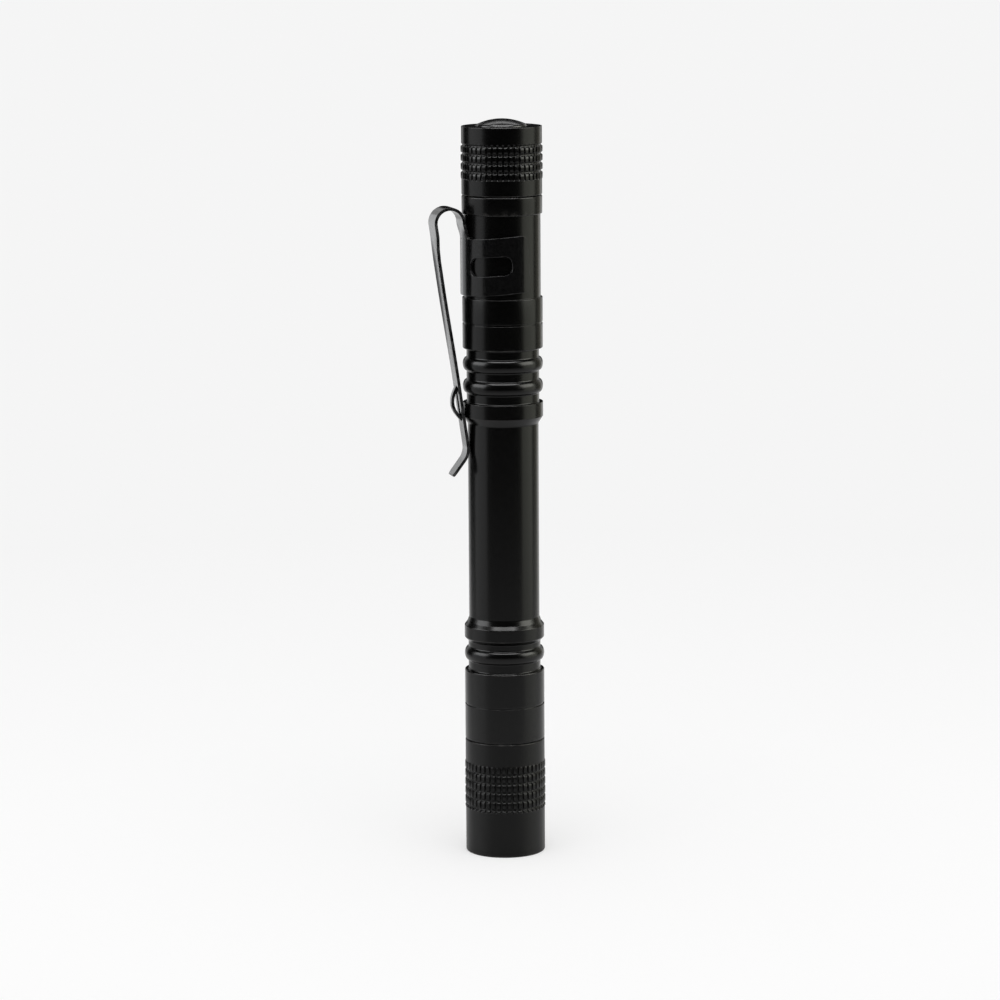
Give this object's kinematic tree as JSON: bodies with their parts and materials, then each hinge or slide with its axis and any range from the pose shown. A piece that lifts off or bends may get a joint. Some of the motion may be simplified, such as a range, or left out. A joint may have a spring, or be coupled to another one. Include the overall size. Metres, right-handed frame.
{
  "type": "penlight",
  "caption": "Slim black aluminium penlight for AAA cells in line, with a screw-on head with lens and reflector, a screw-on tail cap with a click button, and a spring steel pocket clip.",
  "frame": {"origin": "centre of the bezel's rim, the face that the light stands on", "axes": "+Z along the tube from the bezel to the tail button, -X towards the pocket clip, +Y to the clip's left arm"},
  "size_m": [0.0202, 0.0148, 0.1315],
  "materials": {
    "tube_anodised": "black anodised, satin gloss",
    "head_anodised": "black anodised, satin gloss",
    "cap_anodised": "black anodised, satin gloss",
    "clip_steel": "black spring steel, glossy",
    "seal_rubber": "matt nitrile",
    "boot_rubber": "smooth black silicone",
    "lens_glass": "clear, coated",
    "reflector_chrome": "vacuum metallised, smooth",
    "white_plastic": "moulded, matt",
    "emitter_silicone": "clear silicone over yellow phosphor",
    "emitter_ceramic": "matt white",
    "board_aluminium": "white solder mask",
    "pill_brass": "turned",
    "lead_insulation": "extruded",
    "circuit_board": "green solder mask",
    "black_component": "moulded, matt",
    "spring_wire": "nickel plated wire",
    "pin_brass": "tinned",
    "cell_jacket": "printed steel can, left plain"
  },
  "bodies": {
    "tube": {"body_tube": "tube_anodised", "led_ring": "white_plastic", "led_dome": "emitter_silicone", "led_package": "emitter_ceramic", "led_board": "board_aluminium", "pill": "pill_brass", "led_leads": "lead_insulation", "driver_board": "circuit_board", "driver_parts": "black_component", "contact_spring": "spring_wire", "front_cell": "cell_jacket", "rear_cell": "cell_jacket"},
    "head_seal": {"head_oring": "seal_rubber"},
    "head": {"head_shell": "head_anodised", "lens_gasket": "seal_rubber", "lens": "lens_glass", "reflector": "reflector_chrome"},
    "tail_seal": {"tail_oring": "seal_rubber"},
    "tail_cap": {"tail_cap": "cap_anodised", "retaining_ring": "pill_brass", "tail_spring": "spring_wire", "switch_board": "circuit_board", "switch_pins": "pin_brass", "switch_case": "black_component", "switch_spring": "spring_wire", "boot_spacer": "black_component", "boot_flange": "boot_rubber"},
    "button": {"boot_crown": "boot_rubber", "switch_plunger": "white_plastic"},
    "clip_band": {"clip_band": "clip_steel"},
    "clip_arm": {"clip_arm": "clip_steel"}
  },
  "joints": [
    {"name": "head_turn", "type": "hinge", "parent": "tube", "child": "head_seal", "pos_m": [0, 0, 0.0198], "axis": [0, 0, -1], "range_deg": [0, 1800]},
    {"name": "head_lift", "type": "slide", "parent": "head_seal", "child": "head", "axis": [0, 0, -1], "range_m": [0, 0.00374]},
    {"name": "tail_cap_turn", "type": "hinge", "parent": "tube", "child": "tail_seal", "pos_m": [0, 0, 0.119], "axis": [0, 0, 1], "range_deg": [0, 1800]},
    {"name": "tail_cap_lift", "type": "slide", "parent": "tail_seal", "child": "tail_cap", "axis": [0, 0, 1], "range_m": [0, 0.00374], "deforming": ["tail_spring"]},
    {"name": "button_press", "type": "slide", "parent": "tail_cap", "child": "button", "axis": [0, 0, -1], "range_m": [0, 0.001], "stiffness_N_per_m": 2500, "springref_m": -0.0004, "deforming": ["switch_spring"]},
    {"name": "clip_swivel", "type": "hinge", "parent": "tube", "child": "clip_band", "pos_m": [0, 0, 0.1058], "axis": [0, 0, 1], "continuous": true},
    {"name": "clip_flex", "type": "hinge", "parent": "clip_band", "child": "clip_arm", "pos_m": [-0.01001, 0, 0.11625], "axis": [0, 1, 0], "range_deg": [0, 5], "stiffness_Nm_per_rad": 2, "springref_deg": -1.72}
  ],
  "couplings": [
    {"joint": "head_turn", "follows": "head_lift", "rad_per_m": 8377.6},
    {"joint": "tail_cap_turn", "follows": "tail_cap_lift", "rad_per_m": 8377.6}
  ]
}
